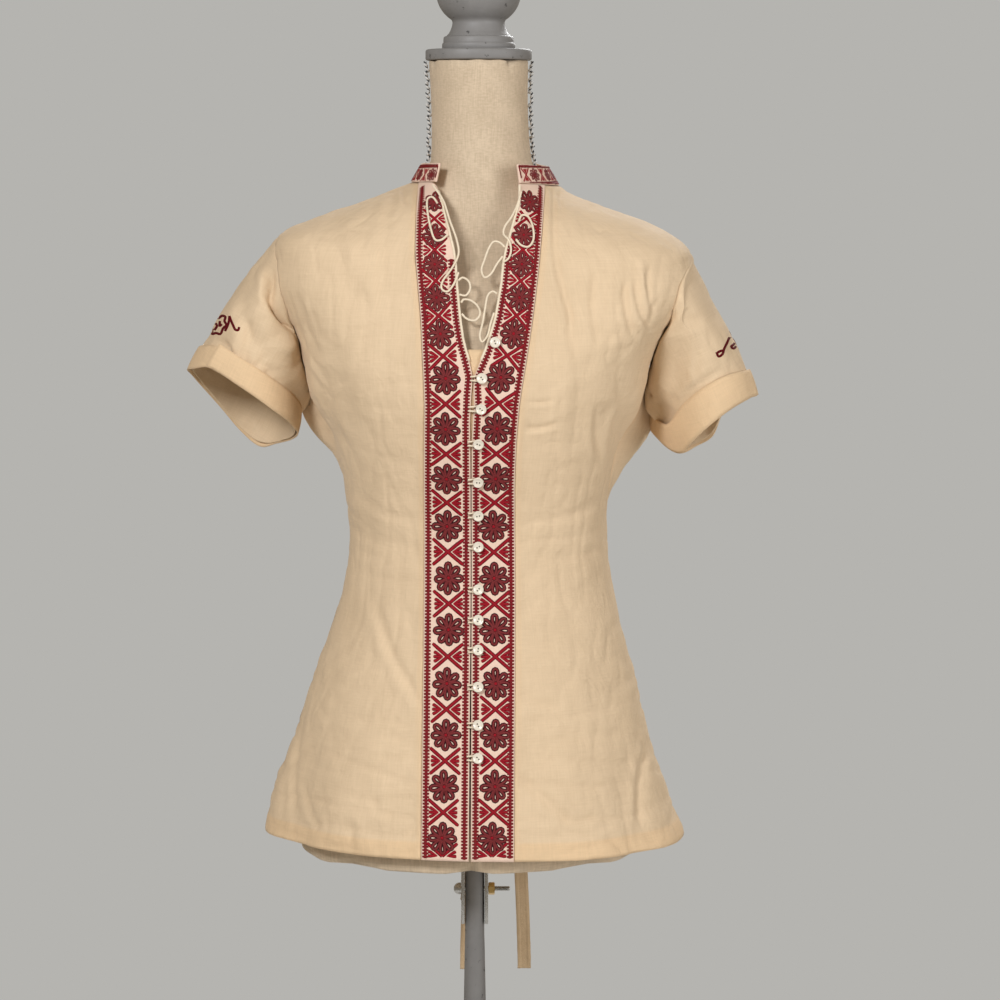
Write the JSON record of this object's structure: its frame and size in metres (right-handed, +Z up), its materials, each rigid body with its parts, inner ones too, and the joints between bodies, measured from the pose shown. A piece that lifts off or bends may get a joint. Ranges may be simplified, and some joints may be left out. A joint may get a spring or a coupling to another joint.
{
  "type": "boho top on a dress form",
  "caption": "Fitted short-sleeved cotton top with a stand collar, a V neck and embroidered front bands, worn by a limbless linen dress form on a pole and a round base.",
  "frame": {"origin": "on the floor, under the centre of the round base, at the bottom centre of the bounding box", "axes": "+Z up, the front of the top and the form faces -Y, the wearer's left side is towards +X"},
  "size_m": [0.5543, 0.356, 1.5558],
  "materials": {
    "cotton": "light plain-woven cream cotton",
    "embroidered_band": "cream cotton covered with dark red embroidery",
    "shell": "polished pale shell",
    "loop_cord": "rouleau cord of the same cotton",
    "linen": "flecked natural linen over a firm form",
    "trim_cord": "twisted white and grey cord",
    "grey_wood": "turned wood with a satin grey paint",
    "steel": "bright zinc-plated steel",
    "brass": "plain brass"
  },
  "bodies": {
    "root": {"front_left": "cotton", "front_right": "cotton", "back": "cotton", "sleeve_left": "cotton", "sleeve_right": "cotton", "cuff_left": "cotton", "cuff_right": "cotton", "guard": "cotton", "tie_belt_left": "cotton", "tie_belt_right": "cotton", "tie_knot": "cotton", "tie_end_left": "cotton", "tie_end_right": "cotton", "band_left": "embroidered_band", "band_right": "embroidered_band", "collar": "embroidered_band", "button_01": "shell", "button_02": "shell", "button_03": "shell", "button_04": "shell", "button_05": "shell", "button_06": "shell", "button_07": "shell", "button_08": "shell", "button_09": "shell", "button_10": "shell", "button_11": "shell", "button_12": "shell", "button_13": "shell", "loop_02": "loop_cord", "loop_03": "loop_cord", "loop_04": "loop_cord", "loop_05": "loop_cord", "loop_06": "loop_cord", "loop_07": "loop_cord", "loop_08": "loop_cord", "loop_09": "loop_cord", "loop_10": "loop_cord", "loop_11": "loop_cord", "loop_12": "loop_cord", "loop_13": "loop_cord", "hanging_loop_right_edge": "loop_cord", "hanging_loop_right_over": "loop_cord", "hanging_loop_right_upper": "loop_cord", "hanging_loop_right_lower": "loop_cord", "hanging_loop_left_edge": "loop_cord", "hanging_loop_left_over": "loop_cord", "hanging_loop_left_upper": "loop_cord", "hanging_loop_left_lower": "loop_cord", "torso_form": "linen", "neck_trim_left": "trim_cord", "neck_trim_right": "trim_cord", "turned_cap": "grey_wood", "pole": "grey_wood", "round_base": "grey_wood", "strap_left": "steel", "strap_right": "steel", "clamp_bolt": "steel", "brass_nut": "brass"}
  },
  "joints": []
}
